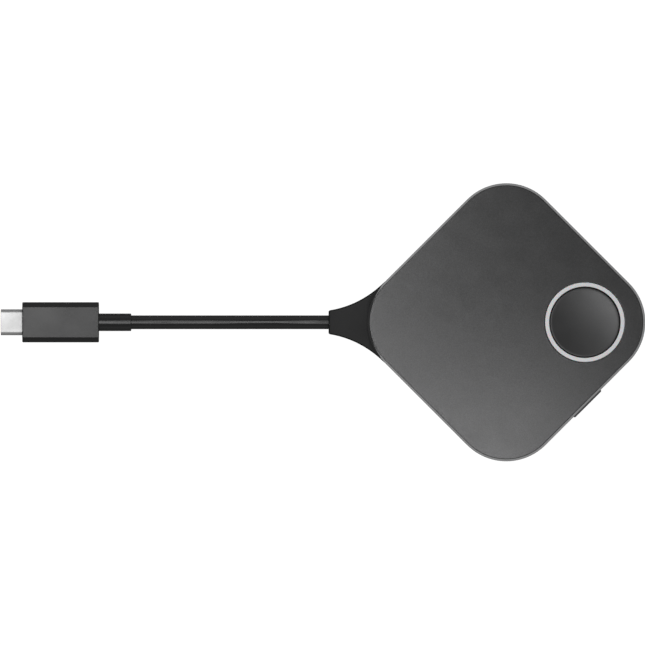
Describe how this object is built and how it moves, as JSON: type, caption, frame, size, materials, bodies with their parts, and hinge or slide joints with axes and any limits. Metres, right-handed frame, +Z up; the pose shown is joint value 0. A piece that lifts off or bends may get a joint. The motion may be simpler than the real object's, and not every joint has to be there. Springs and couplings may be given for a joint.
{
  "type": "wireless presentation dongle",
  "caption": "Rounded square puck turned on its corner, with a dished button in a light ring, a side key and a short captive cord that ends in a small flat plug.",
  "frame": {"origin": "middle of the puck, on the surface that its feet stand on", "axes": "+X from the middle of the puck to the corner with the present button, away from the cord; +Y to the puck's far corner as seen in the picture; +Z up"},
  "size_m": [0.2051, 0.0884, 0.0164],
  "materials": {
    "cover_paint": "satin dark grey moulded frame with a fine metallic paint",
    "plate_metal": "fine blasted, anodised gunmetal grey",
    "film": "pale adhesive film",
    "ring_plastic": "translucent light grey, satin",
    "button_plastic": "satin dark grey, dished",
    "key_plastic": "satin dark grey",
    "base_plastic": "fine textured black",
    "foot_rubber": "matt dark grey rubber",
    "screw_steel": "zinc plated",
    "neck_plastic": "matt black overmould",
    "cord_plastic": "semi-gloss black jacket",
    "ferrule_metal": "crimped sleeve",
    "clamp_plastic": "moulded",
    "wire_plastic": "insulated wire",
    "header_plastic": "moulded cream",
    "board_laminate": "green solder mask",
    "chip_plastic": "moulded package",
    "pad_silicone": "soft silicone",
    "spreader_metal": "plain sheet",
    "coil_ferrite": "moulded ferrite",
    "module_laminate": "blue solder mask",
    "shield_metal": "tinned can",
    "antenna_metal": "pressed strip",
    "baffle_plastic": "white",
    "led_plastic": "clear over phosphor",
    "switch_plastic": "moulded",
    "plunger_plastic": "moulded",
    "plug_plastic": "fine textured dark grey",
    "shell_metal": "satin nickel plate",
    "contact_metal": "gold plated"
  },
  "bodies": {
    "housing": {"top_cover": "cover_paint", "top_plate": "plate_metal", "plate_film": "film", "light_ring": "ring_plastic", "bottom_cover": "base_plastic", "feet": "foot_rubber", "case_screws": "screw_steel", "cable_neck": "neck_plastic", "cord_jacket": "cord_plastic", "cable_tail": "cord_plastic", "cable_ferrule": "ferrule_metal", "cable_clamp": "clamp_plastic", "clamp_screws": "screw_steel", "cable_wires": "wire_plastic", "cable_header": "header_plastic", "main_board": "board_laminate", "processor": "chip_plastic", "memory_chips": "chip_plastic", "thermal_pad": "pad_silicone", "heat_spreader": "spreader_metal", "power_coils": "coil_ferrite", "wireless_board": "module_laminate", "wireless_shield": "shield_metal", "antennas": "antenna_metal", "light_baffle": "baffle_plastic", "status_leds": "led_plastic", "main_switch_body": "switch_plastic", "side_switch_body": "switch_plastic", "plug_relief": "neck_plastic", "plug_housing": "plug_plastic", "plug_shell": "shell_metal", "plug_insert": "base_plastic", "plug_contacts": "contact_metal", "plug_latches": "shield_metal", "plug_board": "board_laminate"},
    "button": {"present_button": "button_plastic", "main_switch_plunger": "plunger_plastic"},
    "key": {"pair_key": "key_plastic", "side_switch_plunger": "plunger_plastic"}
  },
  "joints": [
    {"name": "present_press", "type": "slide", "parent": "housing", "child": "button", "axis": [0, 0, -1], "range_m": [0, 0.0005], "stiffness_N_per_m": 1500, "springref_m": -0.0003},
    {"name": "pair_press", "type": "slide", "parent": "housing", "child": "key", "axis": [-0.7071, 0.7071, 0], "range_m": [0, 0.00035], "stiffness_N_per_m": 1500, "springref_m": -0.0003}
  ]
}
